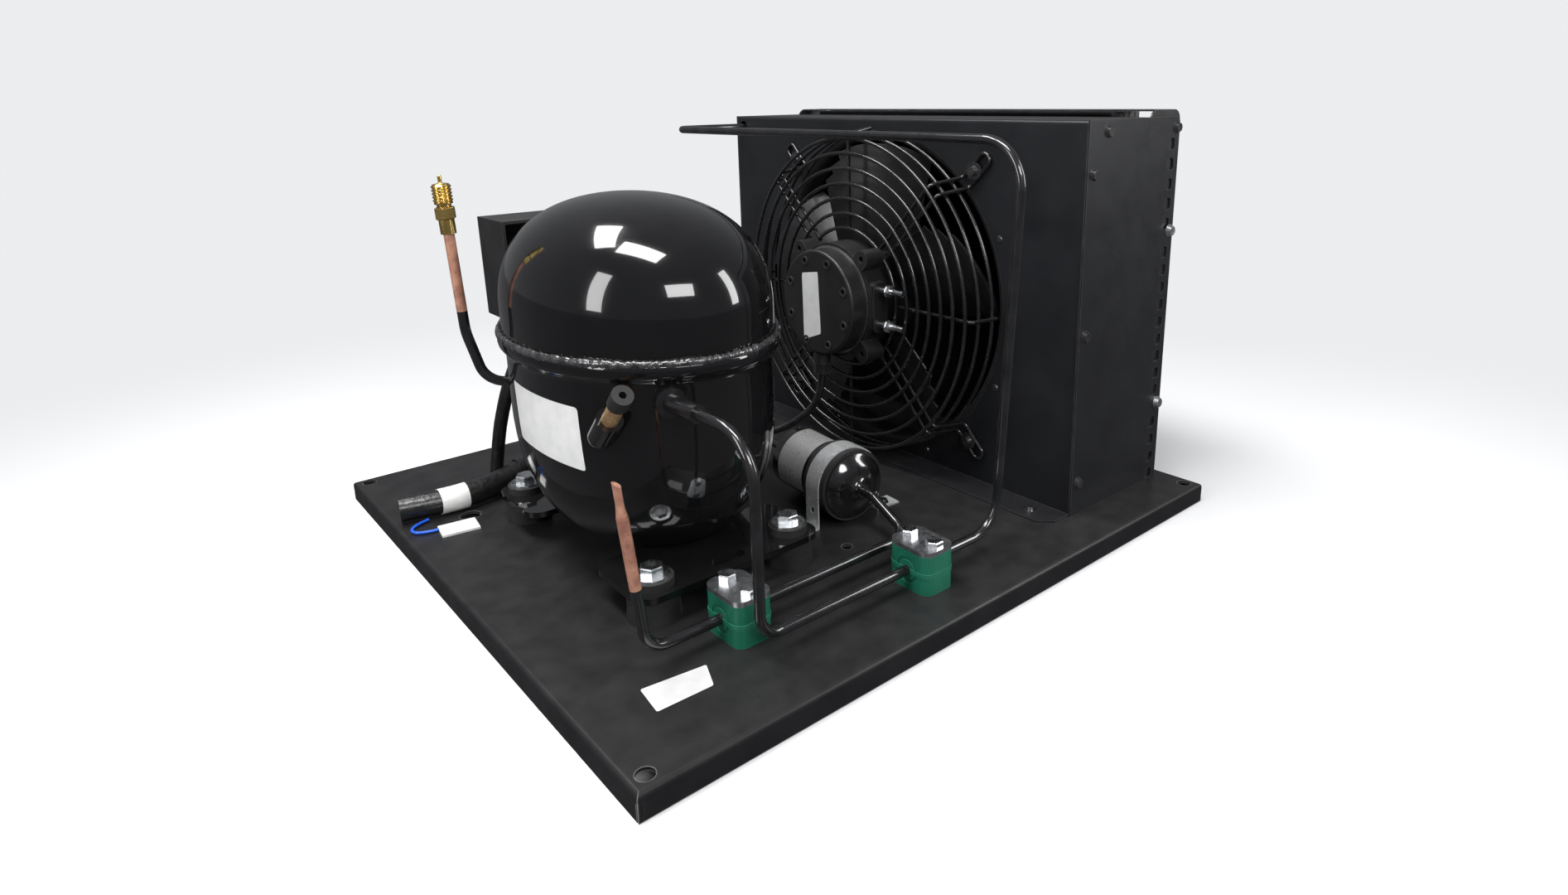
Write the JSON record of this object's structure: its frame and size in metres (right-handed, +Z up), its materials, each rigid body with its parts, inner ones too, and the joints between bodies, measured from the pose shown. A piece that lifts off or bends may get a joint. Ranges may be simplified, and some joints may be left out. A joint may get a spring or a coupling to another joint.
{
  "type": "refrigeration condensing unit",
  "caption": "Hermetic compressor, fan-cooled condenser coil and filter drier joined by steel pipes on a folded steel base tray.",
  "frame": {"origin": "middle of the base tray's footprint, on the surface the tray stands on", "axes": "+Z up; +X from the compressor to the condenser, along the air flow through the fan; +Y away from the pipe clamps"},
  "size_m": [0.5, 0.47, 0.303],
  "materials": {
    "black_screw": "black plated steel",
    "block_plastic": "black phenolic moulding",
    "blue_wire": "blue vinyl insulation",
    "brass": "machined brass",
    "cable_black": "black flexible vinyl",
    "clamp_green": "green polypropylene",
    "copper": "bare copper tube, darkened by brazing",
    "drier_paint": "gloss black enamel",
    "fan_plastic": "black moulded plastic",
    "fin_aluminium": "plain aluminium sheet",
    "galvanised": "galvanised sheet",
    "guard_wire": "semi-gloss black coated wire",
    "motor_plastic": "black moulded plastic",
    "pipe_paint": "gloss black enamel",
    "ring_paint": "fine textured dark grey coat",
    "rubber": "matt black rubber",
    "shaft_steel": "ground and laminated steel",
    "shell_paint": "high gloss black enamel",
    "tray_paint": "satin black powder coat",
    "white_vinyl": "bare white vinyl",
    "zinc": "bright zinc plate"
  },
  "bodies": {
    "unit": {"base_tray": "tray_paint", "cable_bundle": "cable_black", "cable_tie": "cable_black", "clamp_bolts": "zinc", "clamp_lower_halves": "clamp_green", "clamp_nuts": "zinc", "clamp_plates": "zinc", "clamp_upper_halves": "clamp_green", "coil_fins": "fin_aluminium", "coil_frame": "galvanised", "coil_screws": "zinc", "coil_tube": "copper", "compressor_lower_shell": "shell_paint", "compressor_upper_shell": "shell_paint", "condenser_line": "pipe_paint", "discharge_line": "pipe_paint", "discharge_socket": "shell_paint", "drier_cushion": "rubber", "drier_strap": "zinc", "fan_guard": "guard_wire", "fan_ring": "ring_paint", "filter_drier": "drier_paint", "flag_label": "white_vinyl", "foot_bolts": "zinc", "foot_nuts": "zinc", "foot_plates": "shell_paint", "foot_washers": "zinc", "grommet_sleeves": "zinc", "guard_screws": "black_screw", "housing_front_and_top": "tray_paint", "label_wire": "blue_wire", "liquid_line": "pipe_paint", "liquid_stub": "copper", "motor_cable": "cable_black", "motor_cover": "motor_plastic", "motor_gland": "motor_plastic", "motor_housing": "motor_plastic", "motor_screws": "black_screw", "motor_stator": "shaft_steel", "motor_studs": "zinc", "panel_screws": "black_screw", "ring_rivets": "black_screw", "rubber_grommets": "rubber", "service_elbow": "pipe_paint", "service_tube": "copper", "service_valve_body": "brass", "side_panel_left": "tray_paint", "side_panel_right": "tray_paint", "suction_socket": "shell_paint", "suction_stub": "copper", "tape_band": "white_vinyl", "terminal_block": "block_plastic", "terminal_cover": "motor_plastic", "terminal_sleeve": "cable_black", "tray_screws": "black_screw"},
    "fan": {"fan_rotor": "fan_plastic", "motor_shaft": "shaft_steel"},
    "plug": {"suction_plug": "rubber"},
    "valve_core": {"service_valve_pin": "brass"}
  },
  "joints": [
    {"name": "fan_spin", "type": "hinge", "parent": "unit", "child": "fan", "pos_m": [0.115, 0.002, 0.1545], "axis": [1, 0, 0], "continuous": true},
    {"name": "plug_pull", "type": "slide", "parent": "unit", "child": "plug", "axis": [-0.0501, -0.7211, 0.691], "range_m": [0, 0.03]},
    {"name": "valve_press", "type": "slide", "parent": "unit", "child": "valve_core", "axis": [0.0478, 0, -0.9989], "range_m": [0, 0.0015], "stiffness_N_per_m": 300, "springref_m": -0.001}
  ]
}
